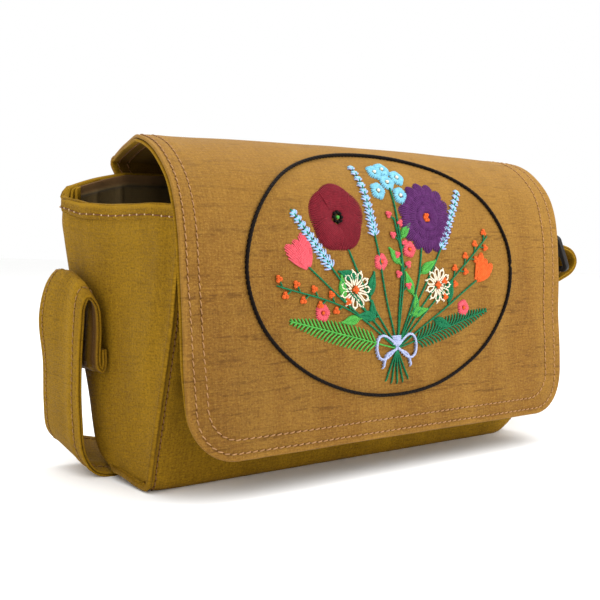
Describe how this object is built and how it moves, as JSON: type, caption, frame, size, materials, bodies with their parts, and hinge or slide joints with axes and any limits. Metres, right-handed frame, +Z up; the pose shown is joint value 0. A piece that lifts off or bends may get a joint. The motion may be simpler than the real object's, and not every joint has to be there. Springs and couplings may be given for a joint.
{
  "type": "box shoulder bag",
  "caption": "Wedge-sided raw silk shoulder bag with a lined front flap, bound side rims and a flat strap with a plastic slider.",
  "frame": {"origin": "on the flat of the base, midway across the width, on the surface that the bag stands on", "axes": "+X along the width to the right seen from the front, -Y towards the front, +Z up"},
  "size_m": [0.3311, 0.1263, 0.1586],
  "materials": {
    "silk_olive": "slubbed raw silk, olive mustard",
    "silk_ochre": "slubbed raw silk, ochre",
    "lining_cloth": "plain woven lining, dark olive",
    "black_plastic": "moulded, satin black"
  },
  "bodies": {
    "root": {"body_panel": "silk_olive", "gusset_left": "silk_olive", "gusset_right": "silk_olive", "gusset_binding_left": "silk_olive", "gusset_binding_right": "silk_olive", "body_lining": "lining_cloth", "flap": "silk_ochre", "flap_lining": "silk_olive", "strap": "silk_olive", "strap_slider": "black_plastic"}
  },
  "joints": []
}
